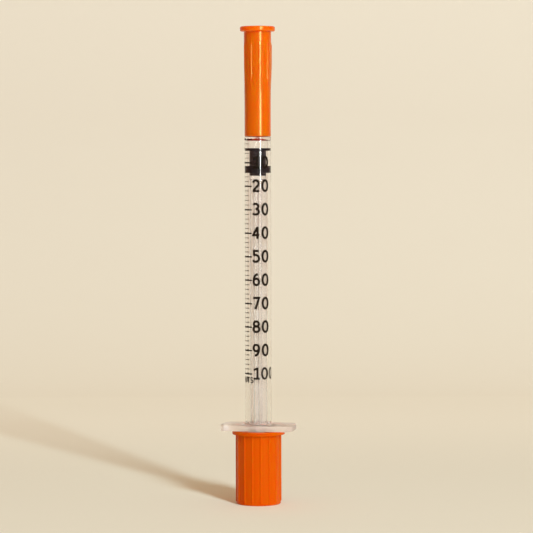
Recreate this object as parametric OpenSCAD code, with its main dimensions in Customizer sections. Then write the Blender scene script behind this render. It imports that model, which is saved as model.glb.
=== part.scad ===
// Insulin syringe with a fixed needle, capped at both ends and standing on its plunger cap.
// Millimetres. +Z runs along the barrel to the needle, the finger flange lies along X, and the
// origin is the middle of the plunger cap's flat bottom. The scale's figures face -Y.

/* [Barrel] */
// Bore of the barrel: 100 units, one millilitre, fill one scale length of it
bore_d = 4.7; // [4.4:0.05:5.4]
// Wall of the barrel
barrel_wall = 0.88; // [0.8:0.01:1.2]
// Wall that closes the barrel behind the needle
front_wall = 0.65; // [0.5:0.05:1]
// How far the bore's conical end rises from its edge to its middle, half of it below zero
end_rise = 0.65; // [0.2:0.05:0.65]
// Bevel round the barrel's front shoulder
shoulder_bevel = 0.2; // [0.1:0.05:0.4]
// Bare length of barrel between the finger flange and the last mark
grip_len = 12.6; // [10:0.1:18]
// How far the retaining bead stands in from the bore, at the barrel's rear
bead_h = 0.1; // [0.05:0.01:0.15]
// Length of the retaining bead
bead_len = 0.6; // [0.4:0.1:1]

/* [Scale] */
// Length of the scale, from zero to the last mark
scale_len = 57.6; // [50:0.1:65]
// Units that the scale counts
scale_units = 100; // [50:10:100]
// Units from one mark to the next
mark_units = 2; // [1:1:5]
// Units from one long mark to the next
long_mark_units = 10; // [10:5:20]
// Angle round the barrel where all the marks start, from the figures' side
mark_from = -80; // [-120:1:-60]
// Angle where the short marks end
short_mark_to = -30; // [-50:1:-20]
// Angle where the long marks end
long_mark_to = -17; // [-30:1:-5]
// Height of a short mark
short_mark_h = 0.11; // [0.08:0.01:0.25]
// Height of a long mark
long_mark_h = 0.34; // [0.15:0.01:0.4]
// Thickness of the printed ink
ink_t = 0.03; // [0.02:0.01:0.06]

/* [Finger flange] */
// Length over both wings
flange_len = 18.1; // [15:0.1:24]
// Depth from front to back
flange_depth = 8.5; // [8.5:0.1:11]
// Thickness
flange_t = 1.5; // [1.2:0.1:2.2]
// Length that a cut corner takes along the wing
corner_len = 1.1; // [0.5:0.1:2]
// Depth that a cut corner takes off the wing's end
corner_depth = 1.4; // [0.5:0.1:2]
// Fillet between the barrel and the flange
flange_fillet = 0.6; // [0.3:0.1:0.8]

/* [Cap collar] */
// Outer diameter of the collar behind the flange, which the plunger cap grips
collar_d = 8.4; // [8:0.1:8.4]
// Length of the collar
collar_len = 3.8; // [2.5:0.1:5]
// Wall of the collar
collar_wall = 0.9; // [0.6:0.1:1]

/* [Nose] */
// Diameter of the seat that grips the needle shield
nose_d = 4.9; // [4.6:0.1:5.2]
// Length of that seat
nose_seat_len = 2.85; // [2:0.05:4]
// Diameter of the nose where its taper starts
nose_root_d = 4.2; // [3.8:0.1:4.4]
// Diameter of the nose at its tip
nose_tip_d = 2.9; // [2.4:0.1:3.4]
// Length of the whole nose
nose_len = 6.45; // [5.5:0.05:9]
// Diameter of the glue well in the nose's tip
well_d = 1.5; // [1:0.1:1.8]
// Depth of the glue well
well_len = 3; // [2:0.1:4.5]

/* [Needle] */
// Outer diameter of the needle tube, gauge 29
needle_d = 0.33; // [0.25:0.01:0.4]
// Diameter of the hole through the needle
lumen_d = 0.18; // [0.12:0.01:0.2]
// Length of needle that stands out of the nose
needle_out = 12.7; // [6:0.1:12.7]
// Length of the slanted cut at the needle's tip
bevel_len = 1.5; // [0.8:0.1:2]
// Height of the glue's meniscus round the needle
meniscus_h = 0.5; // [0.2:0.1:0.8]

/* [Needle shield] */
// Diameter of the shield over its plain lower part
shield_d = 6.46; // [6.2:0.01:7.5]
// Diameter just under the rim, where the body has widened
shield_top_d = 6.72; // [6.5:0.01:8]
// Diameter of the rim
shield_rim_d = 8.6; // [8.1:0.1:11]
// Thickness of the rim
shield_rim_t = 1.25; // [1:0.05:2]
// Rounding of the rim's edges
shield_rim_round = 0.35; // [0.2:0.05:0.5]
// Length of the plain lower part, before the body widens
shield_plain_len = 7.4; // [5:0.1:9]
// Depth of the wide mouth that seats on the nose
mouth_len = 3.2; // [3:0.1:4.2]
// Wall of the shield beside the needle, at the mouth's end
shield_wall = 0.9; // [0.75:0.05:1.1]
// Wall that closes the shield above the needle
shield_end_t = 1.8; // [1.2:0.1:2.5]
// Room between the needle's tip and the closed end
tip_room = 6; // [2:0.1:8]
// How far a grip rib stands out at its highest
rib_h = 0.17; // [0.1:0.01:0.3]
// Width of a grip rib
rib_w = 0.53; // [0.3:0.01:0.9]
// Number of grip ribs
rib_count = 9; // [6:1:12]
// Angle of the first rib, from the figures' side
rib_turn = 21; // [0:1:40]

/* [Stopper] */
// Length of the front sealing ring
front_ring_len = 0.66; // [0.5:0.01:1.2]
// Length of the waist between the rings
waist_len = 3.67; // [3:0.01:5]
// Diameter of the waist and of the rear skirt
waist_d = 4.1; // [3.4:0.01:4.2]
// Length of the rear sealing ring
rear_ring_len = 1.77; // [1.2:0.01:2.4]
// Length of the skirt behind the rear ring
skirt_len = 0.64; // [0.4:0.01:1]
// Rounding of the rings' edges
ring_round = 0.06; // [0.05:0.01:0.2]
// Units that the stopper's front edge stands at, as stored
rest_units = 3.8; // [2:0.1:10]

/* [Plunger rod] */
// Diameter over the rod's four webs
rod_d = 4.2; // [3.6:0.1:4.2]
// Thickness of a web
web_t = 0.8; // [0.5:0.05:1.2]
// Turn of the webs about the barrel's axis
web_turn = 79; // [0:1:89]
// Diameter of the knob that the stopper is pushed over
knob_d = 2.5; // [2.2:0.1:2.8]
// Length of the knob
knob_len = 1.4; // [1:0.1:1.6]
// Diameter of the neck behind the knob
neck_d = 1.8; // [1.2:0.1:2]
// Length of the neck inside the stopper
neck_len = 3.3; // [2.8:0.1:3.6]
// Thickness of the disc that backs the stopper
front_disc_t = 0.9; // [0.6:0.1:1.5]
// Diameter of the thumb disc
thumb_d = 7.8; // [6.5:0.1:7.8]
// Thickness of the thumb disc
thumb_t = 1.4; // [1:0.1:2]
// Rounding of the thumb disc's edges
thumb_round = 0.35; // [0.1:0.05:0.5]
// Length of rod between the thumb disc and the collar, as stored
rod_out = 7.4; // [5:0.1:15]

/* [Plunger cap] */
// Wall of the cap
cap_wall = 1.25; // [0.9:0.05:1.6]
// Thickness of the cap's floor
cap_floor = 1; // [0.7:0.1:1.6]
// Diameter of the rim round the mouth
cap_rim_d = 12.95; // [12.5:0.05:15]
// Thickness of the rim
cap_rim_t = 0.9; // [0.6:0.05:1.5]
// Rounding of the rim's edges
cap_rim_round = 0.1; // [0.1:0.05:0.28]
// Bevel round the cap's bottom
cap_bevel = 0.3; // [0.1:0.05:0.6]
// Room between the cap's floor and the thumb disc
disc_room = 4.6; // [4.2:0.1:8]
// How far a ridge stands out from the cap
ridge_h = 0.2; // [0.05:0.01:0.25]
// Width of a ridge
ridge_w = 0.4; // [0.25:0.01:0.8]
// Number of ridges
ridge_count = 16; // [8:1:20]
// Angle of the first ridge, from the figures' side
ridge_turn = 17; // [0:0.1:22.5]

/* [Fits] */
// Gap round a cap where it grips its seat
grip_gap = 0.02; // [0.01:0.01:0.05]
// Gap round the stopper's rings in the bore
seal_gap = 0.03; // [0.01:0.01:0.05]
// Gap between the end of a cap and what it butts on
butt_gap = 0.05; // [0.02:0.01:0.1]
// Gap round the needle in its channel, and round the knob in the stopper
slip_gap = 0.02; // [0.01:0.01:0.05]
// Gap that the glue and the ink keep from the faces that they cling to
cling_gap = 0.005; // [0.002:0.001:0.01]

/* [Hidden] */
$fn = 96;

ORANGE = [0.89, 0.4, 0.02];
CLEAR = [0.86, 0.9, 0.92, 0.5];
MILKY = [0.9, 0.9, 0.87];
STEEL = [0.72, 0.73, 0.75];
GLUE = [0.93, 0.9, 0.75];
RUBBER = [0.07, 0.07, 0.08];
INK = [0.12, 0.1, 0.1];

// The azimuth of the figures' side, which the angles above are counted from
FRONT = -90;
// What cuts run past the faces that they open
over = 0.5 * front_wall;

bore_r = bore_d / 2;
barrel_r = bore_r + barrel_wall;
collar_r = collar_d / 2;
nose_r = nose_d / 2;
needle_r = needle_d / 2;
rod_r = rod_d / 2;
waist_r = waist_d / 2;
ring_r = bore_r - seal_gap;

// Heights, from the floor up
thumb_z = cap_floor + disc_room;
rod_z = thumb_z + thumb_t;
collar_z = rod_z + rod_out;
flange_z = collar_z + collar_len;
flange_top_z = flange_z + flange_t;
cap_h = flange_z - butt_gap;
scale_z = flange_top_z + grip_len;
zero_z = scale_z + scale_len;
shoulder_z = zero_z + front_wall;
nose_tip_z = shoulder_z + nose_len;
well_z = nose_tip_z - well_len;
needle_z = zero_z + front_wall / 2;
needle_tip_z = nose_tip_z + needle_out;
shield_z = shoulder_z + butt_gap;
shield_bore_top_z = needle_tip_z + tip_room;
shield_top_z = shield_bore_top_z + shield_end_t;
shield_rim_z = shield_top_z - shield_rim_t;

unit_len = scale_len / scale_units;
stopper_len = front_ring_len + waist_len + rear_ring_len + skirt_len;
stopper_front_z = zero_z - rest_units * unit_len;
stopper_z = stopper_front_z - stopper_len;
knob_z = stopper_z + neck_len;

shield_r = shield_d / 2;
shield_top_r = shield_top_d / 2;
mouth_r = nose_r + grip_gap;
shield_bore_r = shield_r - shield_wall;
cap_bore_r = collar_r + grip_gap;
cap_r = cap_bore_r + cap_wall;

// Shares of the shield's length, from the plain part to the rim, between which the ribs fade out,
// keep their full height, and end bluntly
RIB_SHARES = [0.03, 0.52, 0.81, 0.888];
rib_run = shield_rim_z - shield_z - shield_plain_len;
rib_zs = [for (share = RIB_SHARES) shield_z + shield_plain_len + share * rib_run];

// Radius of the shield's body at a height
function shield_body_r(z) =
    shield_r + (shield_top_r - shield_r) * max(0, z - shield_z - shield_plain_len) / rib_run;

// Half section of a disc of radius r and height h whose outer edges are rounded by e
module round_disc(r, h, e) {
    square([r - e, h]);
    translate([0, e]) square([r, h - 2 * e]);
    translate([r - e, e]) circle(e);
    translate([r - e, h - e]) circle(e);
}

// Slabs of width w standing out from the axis to radius r, count of them evenly round it
module spokes(r, w, z, h, count, turn) {
    for (i = [0 : count - 1])
        rotate(FRONT + turn + i * 360 / count)
            translate([0, -w / 2, z])
                cube([r, w, h]);
}

// Orange cap over the needle: a closed tube with a rim at its closed end and grip ribs below it
module shield_outline() {
    polygon([[0, shield_z], [shield_r, shield_z], [shield_r, shield_z + shield_plain_len],
             [shield_top_r, shield_rim_z], [0, shield_rim_z]]);
    translate([0, shield_rim_z]) round_disc(shield_rim_d / 2, shield_rim_t, shield_rim_round);
}

module shield_bore() {
    mouth_z = shield_z + mouth_len;
    polygon([[0, shield_z - over], [mouth_r, shield_z - over], [mouth_r, mouth_z],
             [shield_bore_r, mouth_z], [shield_bore_r, shield_bore_top_z], [0, shield_bore_top_z]]);
}

// The ribs' crest line, turned round the axis. It starts and ends in the wall, under the surface
module rib_envelope() {
    root_r = shield_r - shield_wall / 2;
    polygon([[root_r, rib_zs[0]], [shield_body_r(rib_zs[0]) - rib_h / 2, rib_zs[0]],
             [shield_body_r(rib_zs[1]) + rib_h, rib_zs[1]],
             [shield_body_r(rib_zs[2]) + rib_h, rib_zs[2]],
             [shield_body_r(rib_zs[3]) - rib_h / 2, rib_zs[3]], [root_r, rib_zs[3]]]);
}

module needle_shield() {
    color(ORANGE)
    union() {
        rotate_extrude() difference() {
            shield_outline();
            shield_bore();
        }
        intersection() {
            rotate_extrude() rib_envelope();
            spokes(shield_top_r + 2 * rib_h, rib_w, rib_zs[0], rib_zs[3] - rib_zs[0], rib_count,
                   rib_turn);
        }
    }
}

// Steel tube, cemented in the nose, with a slanted cut at its tip
module needle_tube() {
    slope = bevel_len / needle_d;
    cut_r = needle_r + over;
    cut_top_z = needle_tip_z + over * slope;
    color(STEEL)
    difference() {
        translate([0, 0, needle_z]) cylinder(r = needle_r, h = needle_tip_z - needle_z);
        translate([0, 0, needle_z - over])
            cylinder(d = lumen_d, h = needle_tip_z - needle_z + 2 * over);
        rotate([90, 0, 0])
            linear_extrude(2 * cut_r, center = true)
                polygon([[-cut_r, needle_tip_z - bevel_len - over * slope], [cut_r, cut_top_z],
                         [-cut_r, cut_top_z]]);
    }
}

// Epoxy that fills the well round the needle and climbs it a little
module needle_adhesive() {
    in_r = needle_r + cling_gap;
    out_r = well_d / 2 - cling_gap;
    color(GLUE)
    rotate_extrude()
        polygon([[in_r, well_z + cling_gap], [out_r, well_z + cling_gap], [out_r, nose_tip_z],
                 [(in_r + out_r) / 2, nose_tip_z + meniscus_h / 4],
                 [in_r + slip_gap, nose_tip_z + meniscus_h], [in_r, nose_tip_z + meniscus_h]]);
}

// Everything of the barrel that is round: collar, tube, shoulder and nose
module barrel_outline() {
    seat_z = shoulder_z + nose_seat_len;
    translate([0, collar_z]) square([collar_r, collar_len + flange_t / 2]);
    translate([0, flange_z])
        polygon([[0, 0], [barrel_r, 0], [barrel_r, shoulder_z - flange_z - shoulder_bevel],
                 [barrel_r - shoulder_bevel, shoulder_z - flange_z], [0, shoulder_z - flange_z]]);
    translate([0, flange_top_z]) difference() {
        square([barrel_r + flange_fillet, flange_fillet]);
        translate([barrel_r + flange_fillet, flange_fillet]) circle(flange_fillet);
    }
    polygon([[0, zero_z], [nose_r, zero_z], [nose_r, seat_z], [nose_root_d / 2, seat_z],
             [nose_tip_d / 2, nose_tip_z], [0, nose_tip_z]]);
}

// Bore, retaining bead, lead-in funnel, collar bore, needle channel and glue well
module barrel_hollow() {
    funnel_h = collar_r - collar_wall - bore_r;
    bead_z = flange_top_z - bead_len;
    polygon([[0, collar_z - over], [collar_r - collar_wall, collar_z - over],
             [collar_r - collar_wall, flange_z - funnel_h / 2], [bore_r, flange_z + funnel_h / 2],
             [bore_r, bead_z], [bore_r - bead_h, bead_z + bead_h],
             [bore_r - bead_h, flange_top_z - bead_h], [bore_r, flange_top_z],
             [bore_r, zero_z - end_rise / 2], [0, zero_z + end_rise / 2]]);
    square([needle_r + slip_gap, nose_tip_z]);
    translate([0, well_z]) square([well_d / 2, well_len + over]);
}

// Outline of the finger flange, with its four corners cut
module flange_outline() {
    x = flange_len / 2;
    y = flange_depth / 2;
    polygon([[x, y - corner_depth], [x - corner_len, y], [corner_len - x, y],
             [-x, y - corner_depth], [-x, corner_depth - y], [corner_len - x, -y],
             [x - corner_len, -y], [x, corner_depth - y]]);
}

module barrel() {
    color(CLEAR)
    difference() {
        union() {
            rotate_extrude() barrel_outline();
            translate([0, 0, flange_z]) linear_extrude(flange_t) flange_outline();
        }
        rotate_extrude() barrel_hollow();
    }
}

// One printed mark: a thin band part of the way round the barrel
module mark(units, to, h) {
    rotate(FRONT + mark_from)
        rotate_extrude(angle = to - mark_from)
            translate([barrel_r + cling_gap, zero_z - units * unit_len - h / 2])
                square([ink_t, h]);
}

module scale_marks() {
    color(INK)
    for (units = [0 : mark_units : scale_units])
        if (units % long_mark_units == 0) mark(units, long_mark_to, long_mark_h);
        else mark(units, short_mark_to, short_mark_h);
}

// Rubber plug with two sealing rings, hollow at the back for the rod's knob
module stopper_outline() {
    square([waist_r, stopper_len]);
    translate([0, skirt_len]) round_disc(ring_r, rear_ring_len, ring_round);
    translate([0, stopper_len - front_ring_len]) round_disc(ring_r, front_ring_len, ring_round);
}

module stopper() {
    color(RUBBER)
    translate([0, 0, stopper_z])
        rotate_extrude() difference() {
            stopper_outline();
            translate([0, -over]) square([neck_d / 2 + slip_gap, neck_len + over]);
            translate([0, neck_len - slip_gap])
                square([knob_d / 2 + slip_gap, knob_len + 2 * slip_gap]);
        }
}

// Rod of four webs between the disc that backs the stopper and the thumb disc
module plunger_rod() {
    webs_h = stopper_z - rod_z;
    color(MILKY)
    union() {
        intersection() {
            translate([0, 0, rod_z - thumb_t / 2]) cylinder(r = rod_r, h = webs_h + thumb_t / 2);
            spokes(rod_d, web_t, thumb_z, webs_h + thumb_t, 4, web_turn);
        }
        translate([0, 0, stopper_z - front_disc_t]) cylinder(r = rod_r, h = front_disc_t);
        translate([0, 0, stopper_z - front_disc_t / 2])
            cylinder(d = neck_d, h = front_disc_t / 2 + neck_len + knob_len / 2);
        translate([0, 0, knob_z]) cylinder(d = knob_d, h = knob_len);
        translate([0, 0, thumb_z]) rotate_extrude() round_disc(thumb_d / 2, thumb_t, thumb_round);
    }
}

// Orange cap over the thumb disc: a ridged cup with a rim round its mouth
module cap_outline() {
    polygon([[0, 0], [cap_r - cap_bevel, 0], [cap_r, cap_bevel], [cap_r, cap_h - cap_rim_t / 2],
             [0, cap_h - cap_rim_t / 2]]);
    translate([0, cap_h - cap_rim_t]) round_disc(cap_rim_d / 2, cap_rim_t, cap_rim_round);
}

module plunger_cap() {
    ridge_z = cap_bevel + ridge_h;
    color(ORANGE)
    union() {
        rotate_extrude() difference() {
            cap_outline();
            translate([0, cap_floor]) square([cap_bore_r, cap_h]);
        }
        intersection() {
            rotate_extrude()
                translate([cap_r - cap_wall / 2, ridge_z])
                    square([cap_wall / 2 + ridge_h, cap_h - cap_rim_t / 2 - ridge_z]);
            spokes(cap_r + 2 * ridge_h, ridge_w, ridge_z, cap_h - cap_rim_t / 2 - ridge_z,
                   ridge_count, ridge_turn);
        }
    }
}

needle_shield();
needle_tube();
needle_adhesive();
barrel();
scale_marks();
stopper();
plunger_rod();
plunger_cap();
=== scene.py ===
# Insulin syringe with a fixed needle, capped at both ends and standing on its plunger cap.
# Lengths are in millimetres until a mesh is made. Angle 0 faces -Y, the figures' side, and angles
# grow towards +X.
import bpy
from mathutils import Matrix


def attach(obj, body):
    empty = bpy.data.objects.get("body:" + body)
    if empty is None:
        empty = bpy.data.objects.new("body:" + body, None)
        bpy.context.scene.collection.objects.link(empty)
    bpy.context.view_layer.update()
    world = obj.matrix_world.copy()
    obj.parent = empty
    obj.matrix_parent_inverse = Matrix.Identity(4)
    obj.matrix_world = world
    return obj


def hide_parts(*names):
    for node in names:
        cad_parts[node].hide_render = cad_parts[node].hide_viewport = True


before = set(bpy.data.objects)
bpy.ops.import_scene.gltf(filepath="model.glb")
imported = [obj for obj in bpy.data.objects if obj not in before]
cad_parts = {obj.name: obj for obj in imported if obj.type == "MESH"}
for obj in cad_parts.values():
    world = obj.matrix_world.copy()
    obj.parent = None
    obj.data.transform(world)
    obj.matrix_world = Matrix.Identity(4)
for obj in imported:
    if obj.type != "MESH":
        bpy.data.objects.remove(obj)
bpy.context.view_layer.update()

import math

import bpy
import numpy as np
from mathutils import Matrix

# Barrel
# Tube, front wall, nose, finger flange and the collar that the plunger cap grips are moulded in one
# piece of clear plastic. The mould leaves its edges slightly rounded and its bore polished. The
# flange and the front wall, which are thick, look a little hazy. The pink of that haze and of the
# flange's milky layer is painted orange light from the shield and the plunger cap.

BORE_R = 2.35
BARREL_R = 3.23
COLLAR_R = 4.2
COLLAR_BORE_R = 3.3
COLLAR_Z = 14.4
SEAM_Z = 17.0  # where the profile starts and ends, in the collar's bore
CONE_Z = 17.725  # the bore narrows from the collar's to the tube's up to CONE_TOP_Z
CONE_TOP_Z = 18.675
BEAD_H = 0.1  # the bead that keeps the stopper in
BEAD_Z = 19.1
FLANGE_Z = 18.2
FLANGE_TOP_Z = 19.7
FLANGE_HALF_L = 9.05
FLANGE_HALF_W = 4.25
FLANGE_EDGE = 0.22
CUT_FAR = 8.877  # the flange's cut corners: distance, normal, and angles of their ends
CUT_WAY = (0.7863, 0.6178)
CUT_ENDS = (61.9, 72.5, 107.5, 118.1, 241.9, 252.5, 287.5, 298.1)
FILLET_R = 0.6
ZERO_Z = 89.9
END_RISE = 0.65
SHOULDER_Z = 90.55
NOSE_R = 2.45
NOSE_STEP_R = 2.1
NOSE_STEP_Z = 93.4
NOSE_TIP_R = 1.45
NOSE_TIP_Z = 97.0
WELL_R = 0.75
WELL_Z = 94.0
CHANNEL_R = 0.185
CLEAR = (0.97, 0.965, 0.965, 1)
# Pink haze colour: painted orange light from the shield and the plunger cap.
HAZE_PAINTED_ORANGE_LIGHT = (1.0, 0.90, 0.87, 1)
MILK_SHARE = 0.12


def rounded(corners, steps=4, ease=0.04):
    """Profile through corners given as radius, height and rounding. Each corner becomes a circular
    arc that touches both of its sides: its start, plus the rounding times the sine of the angle
    turned so far along the first side, plus the rounding times one minus its cosine across it. A
    point lies ease before and after each arc, so that shading stays within it. The first and the
    last corner stay sharp."""
    corners = np.array(corners, float)
    place, size = corners[:, :2], corners[:, 2]
    into = place - np.roll(place, 1, axis=0)
    into /= np.linalg.norm(into, axis=1)[:, None]
    out = np.roll(into, -1, axis=0)
    turn = np.arctan2(into[:, 0] * out[:, 1] - into[:, 1] * out[:, 0], (into * out).sum(axis=1))
    reach = size * np.abs(np.tan(turn / 2))
    apart = np.full(len(size), ease)
    apart[[0, -1]] = reach[[0, -1]] = size[[0, -1]] = 0
    across = np.sign(turn)[:, None] * np.stack([-into[:, 1], into[:, 0]], axis=1)
    angle = np.abs(turn)[:, None] * np.linspace(0, 1, steps + 1)
    along = size[:, None] * np.sin(angle) - reach[:, None]
    aside = size[:, None] * (1 - np.cos(angle))
    arcs = place[:, None] + along[..., None] * into[:, None] + aside[..., None] * across[:, None]
    before = place - (reach + apart)[:, None] * into
    after = place + (reach + apart)[:, None] * out
    points = np.concatenate([before[:, None], arcs, after[:, None]], axis=1).reshape(-1, 2)
    moved = np.linalg.norm(points - np.roll(points, 1, axis=0), axis=1) > 1e-5
    moved[0] = True
    return points[moved]


def turned(radii, heights, angles):
    """Points of a surface round the axis: x is the radius times the sine of the angle, y is minus
    the radius times its cosine, z is the height. A radius may change with angle and height."""
    across = radii * np.sin(angles)[:, None]
    ahead = -radii * np.cos(angles)[:, None]
    return np.stack([across, ahead, heights + 0 * across], axis=-1)


def stacked(angles, *parts):
    """Points of a surface round the axis whose rows come from parts, one after the other. A part
    is a profile of radii and heights, the same at every angle, or a pair: the radii at each angle
    and row, and the rows' heights."""
    pairs = [part if isinstance(part, tuple) else (part[:, 0] * np.ones((len(angles), 1)),
                                                   part[:, 1]) for part in parts]
    return turned(np.hstack([radii for radii, heights in pairs]),
                  np.concatenate([heights for radii, heights in pairs]), angles)


def skin(grid, loop=False):
    """Points and faces over a grid whose first parameter runs round the axis. The second one ends
    in a single point at either end, or runs round as well in a loop. Each face joins four
    neighbours, three at those ends, and all turn round if their enclosed volume comes out
    negative."""
    around, rows = grid.shape[:2]
    number = np.arange(around * rows).reshape(around, rows)
    if not loop:
        number[:, 0], number[:, -1] = number[0, 0], number[0, -1]
    used, number = np.unique(number, return_inverse=True)
    number = number.reshape(around, rows)
    points = grid.reshape(-1, 3)[used]
    beside = np.roll(number, -1, axis=0)
    faces = np.stack([number, beside, np.roll(beside, -1, 1), np.roll(number, -1, 1)], axis=-1)
    faces = (faces if loop else faces[:, :-1]).reshape(-1, 4)
    a, b, c, d = (points[faces[:, k]] for k in range(4))
    if (a * (np.cross(b, c) + np.cross(c, d))).sum() < 0:
        faces = faces[:, ::-1]
    foot, top = faces[:, 0] == faces[:, 1], faces[:, 2] == faces[:, 3]
    tips = np.concatenate([faces[foot][:, 1:], faces[top][:, :3]])
    return points, faces[~(foot | top)].tolist() + tips.tolist()


def piece(name, points, faces, finish, slot, body, *nodes, crease=38):
    """Closed mesh in metres, smooth but for creases sharper than the given angle, that rides on a
    body, takes the finish as its material and stands for CAD nodes. The slot is not used."""
    mesh = bpy.data.meshes.new(name)
    mesh.from_pydata((points * 0.001).tolist(), [], faces)
    mesh.shade_smooth()
    mesh.set_sharp_from_angle(angle=math.radians(crease))
    mesh.materials.append(finish.data)
    made = bpy.data.objects.new(name, mesh)
    bpy.context.scene.collection.objects.link(made)
    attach(made, body)
    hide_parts(*nodes)


class Field:
    """A number that varies over a surface: a node's output, to which arithmetic adds Math nodes."""

    def __init__(self, finish, socket):
        self.finish, self.socket = finish, socket

    def maths(self, kind, *others):
        """Math node of a kind, fed numbers and fields."""
        return self.finish.node("ShaderNodeMath", {"operation": kind}, dict(enumerate(others)))

    def __add__(self, other):
        return self.maths("ADD", self, other)

    def __mul__(self, other):
        return self.maths("MULTIPLY", self, other)

    def __pow__(self, other):
        return self.maths("POWER", self, other)

    def __rpow__(self, other):
        return self.maths("POWER", other, self)

    __radd__ = __add__
    __rmul__ = __mul__


class Finish:
    """A material or a world, the one method that adds nodes to it, and short ways to call that."""

    def __init__(self, name, store=bpy.data.materials):
        self.data = store.new(name)
        self.data.use_nodes = True
        self.tree = self.data.node_tree
        self.tree.nodes.clear()

    def node(self, kind, settings=None, values=None, output=0):
        """Adds a node of a type. Its settings come first, then each socket's value or link."""
        made = self.tree.nodes.new(kind)
        for name, value in (settings or {}).items():
            if name == "stops":
                for stop, (position, colour) in zip(self.stops(made, len(value)), value):
                    stop.position, stop.color = position, colour
            else:
                setattr(made, name, value)
        for key, value in (values or {}).items():
            if isinstance(value, Field):
                self.tree.links.new(value.socket, made.inputs[key])
            else:
                made.inputs[key].default_value = value
        return Field(self, made.outputs[output])

    def stops(self, ramp, count):
        """A ramp's stops, made up to the given number."""
        while len(ramp.color_ramp.elements) < count:
            ramp.color_ramp.elements.new(1)
        return ramp.color_ramp.elements

    def place(self, stretch=(1, 1, 1)):
        """The piece's own coordinates, stretched along each axis."""
        own = self.node("ShaderNodeTexCoord", output=3)
        return self.node("ShaderNodeMapping", None, {"Vector": own, "Scale": stretch})

    def noise(self, where, scale, detail=3.0, roughness=0.5):
        """Smooth noise from 0 to 1, scale bumps to the metre."""
        return self.node("ShaderNodeTexNoise", None, {
            "Vector": where, "Scale": scale, "Detail": detail, "Roughness": roughness})

    def height(self, where):
        """The third coordinate of a place or a direction."""
        return self.node("ShaderNodeSeparateXYZ", None, {0: where}, output=2)

    def along(self, where, way):
        """How far a place or a direction reaches along a way."""
        return self.node("ShaderNodeVectorMath", {"operation": "DOT_PRODUCT"},
                         {0: where, 1: way}, output=1)

    def climb(self, value, low, high, start=0.0, end=1.0):
        """Smooth step from start to end as the value goes from low to high."""
        return self.node("ShaderNodeMapRange", {"interpolation_type": "SMOOTHSTEP"},
                         {0: value, 1: low, 2: high, 3: start, 4: end})

    def blend(self, share, first, second):
        """Colour that goes from the first to the second as share goes from 0 to 1."""
        return self.node("ShaderNodeMix", {"data_type": "RGBA"},
                         {0: share, 6: first, 7: second}, output=2)

    def bump(self, height, depth):
        """Normal of a surface whose height goes up by depth, in metres."""
        return self.node("ShaderNodeBump", None,
                         {"Height": height, "Distance": depth, "Strength": 1.0})

    def shader(self, **values):
        """Principled shader; underscores in the names of its sockets stand for spaces."""
        named = {key.replace("_", " "): value for key, value in values.items()}
        return self.node("ShaderNodeBsdfPrincipled", None, named)

    def mixed(self, share, first, second):
        """Shader that goes from the first to the second as share goes from 0 to 1."""
        return self.node("ShaderNodeMixShader", None, {0: share, 1: first, 2: second})

    def done(self, shader, kind="ShaderNodeOutputMaterial"):
        """Ends the nodes in this shader."""
        self.tree.links.new(shader.socket, self.tree.nodes.new(kind).inputs[0])
        return self


def flange_radius(angles, inset):
    """Radius of the flange's outline, moved in by inset: one over the soft maximum, over its ends,
    its long sides and its cut corners, of the direction's share along each side's normal divided
    by that side's distance."""
    ways = np.abs(np.stack([np.sin(angles), np.cos(angles)], axis=1))
    normals = np.array([[1, 0], [0, 1], CUT_WAY])
    far = np.array([FLANGE_HALF_L, FLANGE_HALF_W, CUT_FAR]) - np.reshape(inset, (-1, 1, 1))
    sharpness = 90
    shares = ((ways @ normals.T) / far) ** sharpness
    return (shares.sum(axis=2) ** (-1 / sharpness)).T


near_cut_ends = np.add.outer(CUT_ENDS, [-2, -1.2, -0.6, -0.2, 0.2, 0.6, 1.2, 2])
barrel_angles = np.sort(np.concatenate([np.linspace(0, 2 * np.pi, 240, endpoint=False) + 0.001,
                                        np.radians(near_cut_ends).ravel()]))
below_flange = rounded([(COLLAR_BORE_R, SEAM_Z, 0), (COLLAR_BORE_R, COLLAR_Z, 0.15),
                        (COLLAR_R, COLLAR_Z, 0.2), (COLLAR_R, FLANGE_Z, 0)])
quarter = np.linspace(0, np.pi / 2, 6)
edge_inset = FLANGE_EDGE * np.concatenate([1 - np.sin(quarter), 1 - np.sin(quarter[::-1])])
edge_z = np.concatenate([FLANGE_Z + FLANGE_EDGE * (1 - np.cos(quarter)),
                         FLANGE_TOP_Z - FLANGE_EDGE * (1 - np.cos(quarter[::-1]))])
lower_edge = edge_z < (FLANGE_Z + FLANGE_TOP_Z) / 2
edge_radii = np.maximum(flange_radius(barrel_angles, edge_inset), COLLAR_R * lower_edge)
tube_outside = [
    (BARREL_R + FILLET_R, FLANGE_TOP_Z, 0), (BARREL_R, FLANGE_TOP_Z, FILLET_R - 0.001),
    (BARREL_R, SHOULDER_Z, 0.25), (NOSE_R, SHOULDER_Z, 0.08), (NOSE_R, NOSE_STEP_Z, 0.12),
    (NOSE_STEP_R, NOSE_STEP_Z, 0.1), (NOSE_TIP_R, NOSE_TIP_Z, 0.15)]
tube_inside = [
    (WELL_R, NOSE_TIP_Z, 0.05), (WELL_R, WELL_Z, 0.06), (CHANNEL_R, WELL_Z, 0.03),
    (CHANNEL_R, ZERO_Z + END_RISE * 0.44, 0.02), (BORE_R, ZERO_Z - END_RISE / 2, 0.1),
    (BORE_R, FLANGE_TOP_Z, 0.05), (BORE_R - BEAD_H, FLANGE_TOP_Z - BEAD_H, 0.04),
    (BORE_R - BEAD_H, BEAD_Z + BEAD_H, 0.04), (BORE_R, BEAD_Z, 0.05), (BORE_R, CONE_TOP_Z, 0.2),
    (COLLAR_BORE_R, CONE_Z, 0.2), (COLLAR_BORE_R, SEAM_Z + 0.2, 0)]
above_flange = rounded(tube_outside + tube_inside)

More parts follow.
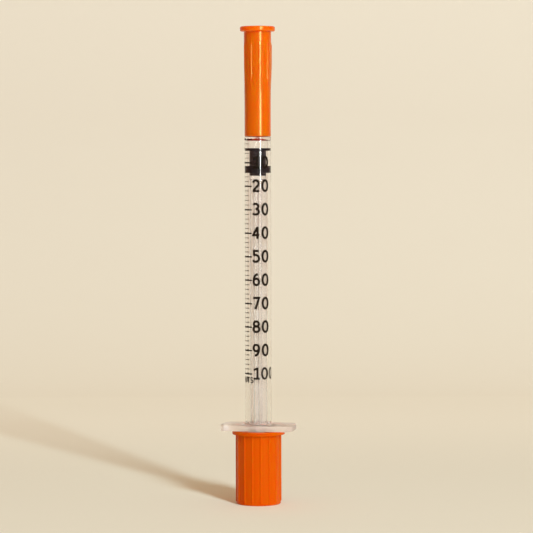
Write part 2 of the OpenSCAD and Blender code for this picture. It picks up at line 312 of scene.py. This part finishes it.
clear_plastic = Finish("clear_plastic")
drawn = clear_plastic.noise(clear_plastic.place((1, 1, 0.08)), 900)
up_barrel = clear_plastic.height(clear_plastic.place())
in_flange = clear_plastic.climb(up_barrel, low=0.0197, high=0.0205, start=1.0, end=0.0)
haze_and_painted_light = in_flange + clear_plastic.climb(up_barrel, low=0.0894, high=0.09, end=0.6)
# Where it is hazy the plastic is rougher, and it is tinted pink as painted orange light.
clear = clear_plastic.shader(
    Base_Color=clear_plastic.blend(haze_and_painted_light, CLEAR, HAZE_PAINTED_ORANGE_LIGHT), IOR=1.47, Transmission_Weight=1.0,
    Specular_IOR_Level=0.2, Specular_Tint=(0.6, 0.6, 0.6, 1),
    Roughness=0.26 * haze_and_painted_light + 0.03 + 0.02 * drawn, Normal=clear_plastic.bump(drawn, 0.0000001))
# Milky layer in the flange, with its pink colour painted in as orange light from the plunger cap.
milk_painted_orange_light = clear_plastic.shader(
    Base_Color=clear_plastic.blend(drawn, (0.66, 0.52, 0.46, 1), (0.72, 0.57, 0.51, 1)),
    Roughness=0.5, Specular_IOR_Level=0.0)
# The lamps' light goes straight through the clear plastic, a little dimmed.
lamp_ray = clear_plastic.node("ShaderNodeLightPath", output=1)
light_shade = clear_plastic.node("ShaderNodeBsdfTransparent", None, {0: (0.78, 0.76, 0.73, 1)})
clear_plastic.done(clear_plastic.mixed(
    lamp_ray, clear_plastic.mixed(MILK_SHARE * in_flange, clear, milk_painted_orange_light), light_shade))
barrel_grid = stacked(barrel_angles, below_flange, (edge_radii, edge_z), above_flange)
piece("clear_barrel", *skin(barrel_grid, loop=True), clear_plastic, "clear_plastic", "barrel",
      "barrel")

# Printed scale
# Black ink rolled on to the barrel: a mark every two units, a long one every ten, and plain
# figures. It is a film that clings to the plastic, so its inner face lies just inside it. The last
# figure of the hundred is narrow, so that the bore doesn't mirror it.

UNIT = 0.576
INK_IN_R = BARREL_R - 0.004
INK_OUT_R = BARREL_R + 0.03
MARKS_FROM, SHORT_TO, LONG_TO, ZERO_TO = np.radians([-80, -30, -17, -13.5])
SHORT_T = 0.11
LONG_T = 0.34
FIGURES_AT = BARREL_R * math.radians(-15.0) + 0.28
FIGURE_UP = 0.16
FIGURE_H = 2.6
FIGURE_W, FIGURE_STEP, FIGURE_STROKE = 1.46, 2.32, 0.56
HUNDRED_W, HUNDRED_STEP, HUNDRED_STROKE = 1.39, 2.12, 0.48
LAST_W, LAST_AT, LAST_STROKE = 0.98, 4.36, 0.38
WORD_AT = BARREL_R * math.radians(-94)
WORD_DOWN = 1.5
WORD_H = 1.25
WORD_W, WORD_STEP, WORD_STROKE = 0.64, 0.98, 0.26
INK = (0.010, 0.005, 0.003, 1)


def line(*places):
    """Straight strokes through the places given, with ten points to each."""
    places = np.array(places, float)
    share = np.linspace(0, 1, 10)[:, None]
    return np.concatenate([a + (b - a) * share for a, b in zip(places[:-1], places[1:])])


def bend(x, y, wide, high, start, end):
    """Part of an ellipse round (x, y), from one angle to the other: its half width times the
    cosine and its half height times the sine."""
    angle = np.radians(np.linspace(start, end, 2 + int(abs(end - start) / 9)))
    return np.stack([x + wide * np.cos(angle), y + high * np.sin(angle)], axis=1)


def tape(path, width):
    """Film of ink along a path of arc lengths and heights. Its edges lie half the width to either
    side, further where the path turns, and it is bent round the barrel: the angle is the arc
    length over the barrel's radius."""
    path = path[np.append(True, np.linalg.norm(np.diff(path, axis=0), axis=1) > 1e-4)]
    closed = np.linalg.norm(path[0] - path[-1]) < 1e-4
    path = path[:-1] if closed else path
    ahead = np.roll(path, -1, axis=0) - path
    if not closed:
        ahead[-1] = ahead[-2]
    ahead /= np.linalg.norm(ahead, axis=1)[:, None]
    behind = np.roll(ahead, 1, axis=0)
    if not closed:
        behind[0] = ahead[0]
    middle = ahead + behind
    middle /= np.linalg.norm(middle, axis=1)[:, None]
    side = np.stack([-middle[:, 1], middle[:, 0]], axis=1) * width / 2
    side /= (middle * ahead).sum(axis=1)[:, None]
    flat = np.stack([path - side, path + side, path + side, path - side], axis=1)
    radii = np.array([INK_OUT_R, INK_OUT_R, INK_IN_R, INK_IN_R])
    angle = flat[..., 0] / BARREL_R
    points = np.stack([radii * np.sin(angle), -radii * np.cos(angle), flat[..., 1]], axis=-1)
    number = np.arange(len(path) * 4).reshape(-1, 4)
    up = np.roll(number, -1, axis=0)
    faces = np.stack([number, up, np.roll(up, -1, 1), np.roll(number, -1, 1)], axis=-1)
    faces = (faces if closed else faces[:-1]).reshape(-1, 4)
    if not closed:
        faces = np.concatenate([faces, number[:1], number[-1:, ::-1]])
    return points.reshape(-1, 3), faces


FIGURES = {
    "0": [bend(0.5, 0.5, 0.5, 0.5, 0, 360)],
    "1": [line((0.02, 0.82), (0.68, 0.98)), line((0.68, 1.07), (0.68, 0)),
          line((0.0, 0), (1.14, 0))],
    "2": [np.concatenate([bend(0.47, 0.7, 0.47, 0.3, 165, -30), line((0.877, 0.55), (0.02, 0.02))]),
          line((-0.08, 0), (1.05, 0))],
    "3": [bend(0.42, 0.76, 0.46, 0.24, 145, -90), bend(0.42, 0.26, 0.55, 0.26, 90, -148)],
    "4": [line((0.74, 1.07), (0.74, -0.07)), line((0.7, 1.0), (0.0, 0.28), (1.08, 0.28))],
    "5": [line((0.95, 1.0), (0.14, 1.0), (0.14, 0.56)), bend(0.42, 0.3, 0.56, 0.32, 122, -148)],
    "6": [bend(0.52, 0.3, 0.46, 0.3, 0, 360), bend(0.66, 0.34, 0.6, 0.66, 180, 78)],
    "7": [line((-0.05, 1.0), (0.97, 1.0), (0.36, -0.07))],
    "8": [bend(0.5, 0.76, 0.42, 0.24, 0, 360), bend(0.5, 0.26, 0.5, 0.26, 0, 360)],
    "9": [bend(0.48, 0.7, 0.46, 0.3, 0, 360), bend(0.34, 0.66, 0.6, 0.66, 0, -102)],
    "U": [np.concatenate([line((0, 1.05), (0, 0.4)), bend(0.5, 0.4, 0.5, 0.4, 180, 360),
                          line((1, 0.4), (1, 1.05))])],
    "N": [line((0, -0.05), (0, 1.05)), line((0, 1), (1, 0)), line((1, -0.05), (1, 1.05))],
    "I": [line((0.5, -0.05), (0.5, 1.05))],
    "T": [line((-0.1, 1), (1.1, 1)), line((0.5, 1), (0.5, -0.05))],
    "S": [np.concatenate([bend(0.5, 0.75, 0.45, 0.25, 25, 270),
                          bend(0.5, 0.25, 0.5, 0.25, 90, -155)])],
}


def write(text, arc, height, width, tall, step, stroke):
    """Tapes of a text whose first figure starts at the given arc length, centred on a height. Each
    figure is its strokes times its width and height, moved on by a step."""
    for place, figure in enumerate(text):
        for path in FIGURES[figure]:
            yield tape(path * [width, tall] + [arc + place * step, height - tall / 2], stroke)


tapes = []
for units in range(0, 101, 2):
    mark_z = ZERO_Z - units * UNIT
    long_mark = units % 10 == 0
    mark_to = LONG_TO if long_mark else SHORT_TO
    if units == 0:
        mark_to = ZERO_TO
    arcs = np.linspace(BARREL_R * MARKS_FROM, BARREL_R * mark_to, 24)
    tapes.append(tape(np.stack([arcs, np.full(24, mark_z)], axis=1),
                      LONG_T if long_mark else SHORT_T))
    if long_mark and 0 < units < 100:
        tapes.extend(write(str(units), FIGURES_AT, mark_z + FIGURE_UP, FIGURE_W, FIGURE_H,
                           FIGURE_STEP, FIGURE_STROKE))
tapes.extend(write("10", FIGURES_AT, mark_z + FIGURE_UP, HUNDRED_W, FIGURE_H, HUNDRED_STEP,
                   HUNDRED_STROKE))
tapes.extend(write("0", FIGURES_AT + LAST_AT, mark_z + FIGURE_UP, LAST_W, FIGURE_H, 0,
                   LAST_STROKE))
tapes.extend(write("UNITS", WORD_AT, mark_z - WORD_DOWN, WORD_W, WORD_H, WORD_STEP, WORD_STROKE))
starts = np.cumsum([0] + [len(points) for points, faces in tapes])
ink_points = np.concatenate([points for points, faces in tapes])
ink_faces = np.concatenate([faces + start for (points, faces), start in zip(tapes, starts)])

ink = Finish("black_ink")
patches = ink.noise(ink.place(), 1400, 4)
ink.done(ink.shader(Base_Color=ink.blend(patches, INK, (0.013, 0.008, 0.005, 1)),
                    Roughness=0.5 + 0.2 * patches, Specular_IOR_Level=0.05,
                    Normal=ink.bump(patches, 0.00001)))
piece("printed_scale", ink_points, ink_faces.tolist(), ink, "ink", "barrel", "scale_marks",
      crease=30)

# Needle and its glue
# A gauge 29 tube of drawn stainless steel with a slanted tip, cemented in the nose with clear
# amber epoxy. Both are hidden by the shield, and the CAD's own shapes stay.

steel = Finish("needle_steel")
streaks = steel.noise(steel.place((1, 1, 0.03)), 16000, 4)
steel.done(steel.shader(
    Base_Color=steel.blend(streaks, (0.5, 0.51, 0.53, 1), (0.72, 0.73, 0.75, 1)), Metallic=1.0,
    Roughness=0.14 + 0.16 * streaks, Normal=steel.bump(streaks, 0.0000008)))
glue = Finish("needle_epoxy")
clouds = glue.noise(glue.place(), 2500)
glue.done(glue.shader(Base_Color=glue.blend(clouds, (0.8, 0.66, 0.36, 1), (0.93, 0.85, 0.6, 1)),
                      Roughness=0.12 + 0.12 * clouds, Transmission_Weight=0.5,
                      Normal=glue.bump(clouds, 0.00001)))
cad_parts["needle_tube"].material_slots[0].material = steel.data
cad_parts["needle_adhesive"].material_slots[0].material = glue.data

# Stopper
# Black rubber plug, moulded with two sealing rings and a hollow back that is pushed over the rod's
# knob. Its rings press on the bore, so they reach a hair's breadth into the barrel's wall.

STOPPER_Z = 80.971
STOPPER_TOP_Z = 87.711
REAR_RING_Z = 81.611
REAR_RING_TOP_Z = 83.381
FRONT_RING_Z = 87.051
WAIST_R = 2.05
RING_R = 2.358
FACE_R = 1.5
FACE_DIP = 0.051
KNOB_NECK_R = 0.9
KNOB_HEAD_R = 1.25
KNOB_HEAD_Z = STOPPER_Z + 3.3
KNOB_TOP_Z = STOPPER_Z + 4.7
KNOB_ROOM = 0.02

stopper_hollow = [
    (0, KNOB_TOP_Z + KNOB_ROOM, 0), (KNOB_HEAD_R + KNOB_ROOM, KNOB_TOP_Z + KNOB_ROOM, 0.1),
    (KNOB_HEAD_R + KNOB_ROOM, KNOB_HEAD_Z - KNOB_ROOM, 0.05),
    (KNOB_NECK_R + KNOB_ROOM, KNOB_HEAD_Z - KNOB_ROOM, 0.05),
    (KNOB_NECK_R + KNOB_ROOM, STOPPER_Z, 0.05)]
stopper_outside = [
    (WAIST_R, STOPPER_Z, 0.15), (WAIST_R, REAR_RING_Z, 0.08), (RING_R, REAR_RING_Z, 0.07),
    (RING_R, REAR_RING_TOP_Z, 0.07), (WAIST_R, REAR_RING_TOP_Z, 0.1), (WAIST_R, FRONT_RING_Z, 0.1),
    (RING_R, FRONT_RING_Z, 0.05), (RING_R, STOPPER_TOP_Z, 0.05), (FACE_R, STOPPER_TOP_Z, 0.2),
    (0, STOPPER_TOP_Z - FACE_DIP, 0)]
stopper_angles = np.linspace(0, 2 * np.pi, 128, endpoint=False)

rubber = Finish("black_rubber")
grain = rubber.noise(rubber.place(), 9000, 4, 0.6)
bloom = rubber.noise(rubber.place(), 600)
rubber.done(rubber.shader(
    Base_Color=rubber.blend(bloom, (0.004, 0.004, 0.006, 1), (0.011, 0.011, 0.014, 1)),
    Roughness=0.28 + 0.14 * grain, Specular_IOR_Level=0.12, Normal=rubber.bump(grain, 0.000008)))
piece("rubber_stopper",
      *skin(stacked(stopper_angles, rounded(stopper_hollow + stopper_outside))), rubber,
      "black_rubber", "plunger", "stopper")

# Plunger rod
# Whitish see-through plastic in one moulding: four webs between the disc behind the stopper and
# the thumb disc, with a necked knob at the front that holds the stopper.

THUMB_Z = 5.6
THUMB_R = 3.9
ROD_Z = 7.0
ROD_TOP_Z = STOPPER_Z - 0.9
ROD_R = 2.1
WEB_T = 0.8
WEB_TURN = math.radians(79.3)
FLARE_R = 0.3
MILKY = (0.92, 0.865, 0.855, 1)


def web_radius(angles):
    """Radius of the four webs' outline: for each web the soft minimum of the rod's radius and half
    a web over the sine of the angle from it, then the soft maximum of the two nearest webs."""
    from_web = (angles - WEB_TURN + np.pi / 4) % (np.pi / 2) - np.pi / 4
    offs = np.stack([from_web, np.pi / 2 - np.abs(from_web)])
    end, side = 20, 10
    arms = ((1 / ROD_R) ** end + (np.abs(np.sin(offs)) / (WEB_T / 2)) ** end) ** (-1 / end)
    return (arms ** side).sum(axis=0) ** (1 / side)


rod_angles = np.linspace(0, 2 * np.pi, 176, endpoint=False)
thumb_disc = rounded([(0, THUMB_Z, 0), (THUMB_R, THUMB_Z, 0.35), (THUMB_R, ROD_Z, 0.35),
                      (2.5, ROD_Z, 0)])
near_disc = np.array([0, 0.03, 0.1, 0.2, 0.3, 0.4])
web_z = np.concatenate([ROD_Z + near_disc, np.linspace(8, 79.4, 40), ROD_TOP_Z - near_disc[::-1]])
from_disc = np.clip(np.minimum(web_z - ROD_Z, ROD_TOP_Z - web_z), 0, FLARE_R)
flare = FLARE_R - np.sqrt(FLARE_R ** 2 - (FLARE_R - from_disc) ** 2)
web_radii = np.minimum(web_radius(rod_angles)[:, None] + flare, ROD_R)
knob_end = rounded([
    (ROD_R, ROD_TOP_Z, 0), (ROD_R, STOPPER_Z, 0.1), (KNOB_NECK_R, STOPPER_Z, 0.05),
    (KNOB_NECK_R, KNOB_HEAD_Z, 0.05), (KNOB_HEAD_R, KNOB_HEAD_Z, 0.1),
    (KNOB_HEAD_R, KNOB_TOP_Z, 0.25), (0, KNOB_TOP_Z, 0)])

milky = Finish("milky_plastic")
cloud = milky.noise(milky.place((1, 1, 0.04)), 700)
milky.done(milky.shader(
    Base_Color=milky.blend(cloud, MILKY, (0.94, 0.89, 0.88, 1)), IOR=1.4,
    Transmission_Weight=0.94, Roughness=0.22 + 0.06 * cloud, Normal=milky.bump(cloud, 0.0000005)))
piece("plunger_rod_moulding",
      *skin(stacked(rod_angles, thumb_disc, (web_radii, web_z), knob_end)), milky,
      "milky_plastic", "plunger", "plunger_rod")

# Needle shield
# Glossy orange plastic cap over the needle, moulded closed at its rimmed end, with nine low grip
# ribs that start bluntly under the rim and fade out downwards. Its mouth grips the barrel's nose.

SHIELD_Z = 90.6
SHIELD_R = 3.23
SHIELD_TOP_R = 3.36
SHIELD_RIM_R = 4.3
SHIELD_BORE_R = 2.33
SHIELD_BORE_TOP_Z = 115.7
SHIELD_MOUTH_R = 2.47
SHIELD_MOUTH_TOP_Z = 93.8
SHIELD_PLAIN_Z = 98.0
SHIELD_RIM_Z = 116.25
SHIELD_TOP_Z = 117.5
GATE_R = 1.0
GATE_DEPTH = 0.2
RIB_ZS = (98.55, 107.49, 112.78, 114.21)
RIB_H = 0.17
RIB_W = 0.53
RIB_COUNT = 9
RIB_TURN = math.radians(21.2)
RIB_SHOULDER = 0.09


def crowded(count, turn, samples, pull):
    """Angles round the axis, samples to a rib, closer together on each rib: an even count, less
    pull times the sine of the rib's own angle over the number of ribs."""
    even = np.linspace(0, 2 * np.pi, count * samples, endpoint=False)
    return turn + even - pull / count * np.sin(count * even)


def flat_rib(angles, radius, count, turn, width, shoulder):
    """Share of a rib's height at an angle: one on its flat top, nought between the ribs, and a
    smooth step over the shoulder at half its width on either side."""
    pitch = 2 * np.pi / count
    arc = np.abs((angles - turn + pitch / 2) % pitch - pitch / 2) * radius
    share = np.clip((width / 2 + shoulder - arc) / (2 * shoulder), 0, 1)
    return share * share * (3 - 2 * share)


shield_angles = crowded(RIB_COUNT, RIB_TURN, 38, 0.5)
shield_low = rounded([
    (0, SHIELD_BORE_TOP_Z, 0), (SHIELD_BORE_R, SHIELD_BORE_TOP_Z, 0.4),
    (SHIELD_BORE_R, SHIELD_MOUTH_TOP_Z, 0.1), (SHIELD_MOUTH_R, SHIELD_MOUTH_TOP_Z, 0.1),
    (SHIELD_MOUTH_R, SHIELD_Z, 0.1), (SHIELD_R, SHIELD_Z, 0.14), (SHIELD_R, SHIELD_PLAIN_Z, 0)])
# Rows lie closer where the ribs fade out and where they end.
rib_rows = np.concatenate([np.linspace(98.6, 107.3, 18), np.linspace(107.6, 111.8, 7),
                           np.linspace(112.2, 114.5, 18), [115.2, 115.7]])
body_r = SHIELD_R + (SHIELD_TOP_R - SHIELD_R) * (rib_rows - SHIELD_PLAIN_Z) / (
    SHIELD_RIM_Z - SHIELD_PLAIN_Z)
crest = np.interp(rib_rows, RIB_ZS, [-RIB_H / 2, RIB_H, RIB_H, -RIB_H / 2])
across_ribs = flat_rib(shield_angles, SHIELD_TOP_R, RIB_COUNT, RIB_TURN, RIB_W, RIB_SHOULDER)
rib_radii = body_r + np.clip(crest, 0, RIB_H) * across_ribs[:, None]
shield_high = rounded([
    (SHIELD_TOP_R - 0.002, 115.9, 0), (SHIELD_TOP_R, SHIELD_RIM_Z, 0.08),
    (SHIELD_RIM_R, SHIELD_RIM_Z, 0.3), (SHIELD_RIM_R, SHIELD_TOP_Z, 0.38),
    (GATE_R + GATE_DEPTH, SHIELD_TOP_Z, 0.1), (GATE_R, SHIELD_TOP_Z - GATE_DEPTH, 0.08),
    (0, SHIELD_TOP_Z - GATE_DEPTH, 0)])


def orange_finish(name, colour, deep, scatter, gloss):
    """Glossy orange plastic: its colour drifts between two shades in long swirls, and a fine
    grain makes its gloss and its surface slightly uneven."""
    finish = Finish(name)
    swirl = finish.noise(finish.place((1, 1, 0.25)), 260, 3, 0.55)
    speck = finish.noise(finish.place(), 5200, 3, 0.6)
    return finish.done(finish.shader(
        Base_Color=finish.blend(swirl, deep, colour), IOR=1.5, Specular_IOR_Level=gloss,
        Specular_Tint=(1, 0.88, 0.35, 1), Roughness=0.19 + 0.04 * speck + 0.03 * swirl,
        Subsurface_Weight=1.0, Subsurface_Radius=(1.0, 0.12, 0.01), Subsurface_Scale=scatter,
        Normal=finish.bump(speck, 0.0000015)))


shield_orange = orange_finish("shield_orange", (0.71, 0.117, 0.0005, 1),
                              (0.67, 0.105, 0.0004, 1), scatter=0.004, gloss=0.5)
piece("needle_shield_moulding",
      *skin(stacked(shield_angles, shield_low, (rib_radii, rib_rows), shield_high)),
      shield_orange, "orange_plastic", "needle_shield", "needle_shield")

# Plunger cap
# Orange cup, moulded with sixteen fine ridges and a rim round its mouth. It is pushed over the
# thumb disc on to the barrel's collar, and the syringe stands on its flat bottom.

CAP_H = 18.15
CAP_R = 5.47
CAP_BORE_R = 4.22
CAP_RIM_R = 6.475
CAP_RIM_Z = CAP_H - 0.9
CAP_FLOOR_T = 1.0
FOOT_R = 3.4
FOOT_DIP = 0.12
FOOT_DIP_R = 3.2
RIDGE_H = 0.2
RIDGE_W = 0.4
RIDGE_SHOULDER = 0.13
RIDGE_Z = 0.42
RIDGE_RUN = 0.4
RIDGE_COUNT = 16
RIDGE_TURN = math.radians(17)

cap_angles = crowded(RIDGE_COUNT, RIDGE_TURN, 24, 0.6)
cap_foot = rounded([(0, FOOT_DIP, 0), (FOOT_DIP_R, FOOT_DIP, 0.08), (FOOT_R, 0, 0.08),
                    (CAP_R, 0, 0.28), (CAP_R, 0.5, 0)])
ridge_rows = np.array([0.55, 0.62, 0.7, 0.78, 0.86, 1.0, 3, 6, 9, 12, 15, 16.6, 17])
ridge_share = flat_rib(cap_angles, CAP_R, RIDGE_COUNT, RIDGE_TURN, RIDGE_W, RIDGE_SHOULDER)
ridge_up = np.clip((ridge_rows - RIDGE_Z) / RIDGE_RUN, 0, 1)
ridge_radii = CAP_R + RIDGE_H * np.sin(ridge_up * np.pi / 2) * ridge_share[:, None]
cap_top = rounded([
    (CAP_R, 17.05, 0), (CAP_R, CAP_RIM_Z, 0.06), (CAP_RIM_R, CAP_RIM_Z, 0.1),
    (CAP_RIM_R, CAP_H, 0.1), (CAP_BORE_R, CAP_H, 0.2), (CAP_BORE_R, CAP_FLOOR_T, 0.4),
    (0, CAP_FLOOR_T, 0)])
on_wall = (cap_top[:, 1] < CAP_RIM_Z - 0.01) & (cap_top[:, 0] > CAP_R - 0.01)
cap_top_radii = cap_top[:, 0] + RIDGE_H * ridge_share[:, None] * on_wall

cap_orange = orange_finish("cap_orange", (0.62, 0.087, 0.0004, 1), (0.56, 0.075, 0.0003, 1),
                           scatter=0.0002, gloss=0.08)
cap_grid = stacked(cap_angles, cap_foot, (ridge_radii, ridge_rows), (cap_top_radii, cap_top[:, 1]))
piece("plunger_cap_moulding", *skin(cap_grid), cap_orange, "orange_plastic", "plunger_cap",
      "plunger_cap")

# Floor and backdrop
# One sheet of warm cream card that lies under the syringe, curves up behind it and stands well
# back, so that no line shows where the floor ends. Its colour holds painted light and shade:
# lighter on the floor far behind the syringe, darker as it rises into the backdrop. The plunger cap
# stands on it, so it stays under the cap when the barrel is lifted off the plunger.

CAMERA_AZ = math.radians(11.25)
AHEAD = (-math.sin(CAMERA_AZ), math.cos(CAMERA_AZ), 0)
BESIDE = (math.cos(CAMERA_AZ), math.sin(CAMERA_AZ), 0)
CARD_FRONT = -1900.0
CARD_SIDES = (-700.0, 700.0)
SWEEP_FROM = 260.0
SWEEP_R = 400.0
CARD = (0.885, 0.835, 0.735, 1)
# Painted light on the far floor and painted shade up the backdrop, both in the card's colour.
CARD_FAR_PAINTED_LIGHT = (0.975, 0.92, 0.815, 1)
CARD_BACK_PAINTED_SHADE = (0.788, 0.702, 0.600, 1)

sweep_turn = np.linspace(0, 1.2, 40)
card_along = np.append(CARD_FRONT, SWEEP_FROM + SWEEP_R * np.sin(sweep_turn))
card_up = np.append(0, SWEEP_R * (1 - np.cos(sweep_turn)))
card_points = (np.multiply.outer(CARD_SIDES, BESIDE)[:, None]
               + np.multiply.outer(card_along, AHEAD) + np.multiply.outer(card_up, (0, 0, 1)))
number = np.arange(2 * len(card_along)).reshape(2, -1)
card_faces = np.stack([number[0, :-1], number[1, :-1], number[1, 1:], number[0, 1:]], axis=-1)

card = Finish("cream_card")
card_place = card.place()
fibres = card.noise(card_place, 40, 4)
# Painted shade as the card rises, jittered by its fibres, and painted light far behind the syringe.
rise_painted_shade = (10.5 * card.height(card_place)) ** 0.36 * (0.94 + 0.06 * fibres)
far_painted_light = card.climb(card.along(card_place, AHEAD), low=0.04, high=0.2)
floor_painted_light = card.blend(far_painted_light, CARD, CARD_FAR_PAINTED_LIGHT)
card.done(card.shader(Base_Color=card.blend(rise_painted_shade, floor_painted_light, CARD_BACK_PAINTED_SHADE), Roughness=0.9,
                      Specular_IOR_Level=0.1))
backdrop_mesh = bpy.data.meshes.new("backdrop")
backdrop_mesh.from_pydata((card_points.reshape(-1, 3) * 0.001).tolist(), [], card_faces.tolist())
backdrop_mesh.shade_smooth()
backdrop_mesh.materials.append(card.data)
backdrop = bpy.data.objects.new("backdrop", backdrop_mesh)
bpy.context.scene.collection.objects.link(backdrop)
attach(backdrop, "plunger_cap")

# Light
# A softbox in front and to the right, over a dim strip that draws the long highlights and ends in
# a still dimmer one near the floor. A warm glow fills the shadows, dark at the sides of the room.
# Lamps and camera are placed in metres.

KEY_AZ = CAMERA_AZ + math.radians(24)
KEY_AIM = (0, 0, 0.06)
STRIP_COLOUR = (1.0, 0.98, 0.95)
WALL = (0.62, 0.54, 0.42, 1)


def aimed(place, forward, up):
    """Matrix of a camera or lamp at a place, looking along forward with its top towards up."""
    back = -np.array(forward, float) / np.linalg.norm(forward)
    right = np.cross(up, back)
    right /= np.linalg.norm(right)
    top = np.cross(back, right)
    rows = np.eye(4)
    rows[:3, :4] = np.stack([right, top, back, np.array(place, float)], axis=1)
    return Matrix(rows.tolist())


def softbox(name, far, low, high, wide, watts, colour):
    """Rectangular lamp that spans two heights at a distance and faces the syringe."""
    lamp = bpy.data.lights.new(name, "AREA")
    lamp.shape = "RECTANGLE"
    lamp.size, lamp.size_y = wide, high - low
    lamp.energy = watts
    lamp.color = colour
    stand = bpy.data.objects.new(name, lamp)
    middle = np.array([far * math.sin(KEY_AZ), -far * math.cos(KEY_AZ), (low + high) / 2])
    stand.matrix_world = aimed(middle, KEY_AIM - middle, (0, 0, 1))
    bpy.context.scene.collection.objects.link(stand)


softbox("softbox", far=3.0, low=1.1, high=1.95, wide=0.4, watts=98.0, colour=(0.74, 0.98, 1.03))
softbox("strip", far=0.9, low=0.065, high=0.19, wide=0.16, watts=2.8, colour=STRIP_COLOUR)
softbox("low_strip", far=0.9, low=0.004, high=0.065, wide=0.16, watts=0.14, colour=STRIP_COLOUR)

room = Finish("room", bpy.data.worlds)
direction = room.node("ShaderNodeTexCoord", output=0)
overhead = room.node("ShaderNodeValToRGB", {"stops": [
    (0.0, (0.48, 0.14, 0.08, 1)), (0.25, (0.17, 0.10, 0.06, 1)), (0.65, (0.57, 0.40, 0.25, 1))]},
    {0: room.height(direction)})
seen, mirrored, through = (room.node("ShaderNodeLightPath", output=k) for k in (0, 3, 6))
lit_wall = room.climb(room.along(direction, AHEAD), low=0.42, high=0.66, start=0.3)
far_off = seen + (0.5 * mirrored + through) * lit_wall
glow = room.node("ShaderNodeBackground", None, {0: room.blend(far_off, overhead, WALL), 1: 1.0})
room.done(glow, "ShaderNodeOutputWorld")
bpy.context.scene.world = room.data

# Camera
# Long lens a little over half a metre off, nearly level with the scale's zero. It looks slightly
# down, and a fraction of a degree aside and askew.

CAMERA_FAR = 0.609
CAMERA_Z = 0.0878
CAMERA_TURN = CAMERA_AZ - math.radians(0.195)
CAMERA_PITCH = math.radians(2.745)
CAMERA_ROLL = math.radians(-0.144)

looking = np.array([-math.sin(CAMERA_TURN) * math.cos(CAMERA_PITCH),
                    math.cos(CAMERA_TURN) * math.cos(CAMERA_PITCH), -math.sin(CAMERA_PITCH)])
level = np.array([math.cos(CAMERA_TURN), math.sin(CAMERA_TURN), 0.0])
upright = np.cross(level, looking)
camera_data = bpy.data.cameras.new("camera")
camera_data.lens = 167.27
camera_data.sensor_width = 36
camera_data.clip_start, camera_data.clip_end = 0.01, 20
camera = bpy.data.objects.new("camera", camera_data)
camera.matrix_world = aimed(
    (CAMERA_FAR * math.sin(CAMERA_AZ), -CAMERA_FAR * math.cos(CAMERA_AZ), CAMERA_Z), looking,
    upright * math.cos(CAMERA_ROLL) - level * math.sin(CAMERA_ROLL))
bpy.context.scene.collection.objects.link(camera)
bpy.context.scene.camera = camera
bpy.context.scene.view_settings.view_transform = "Standard"
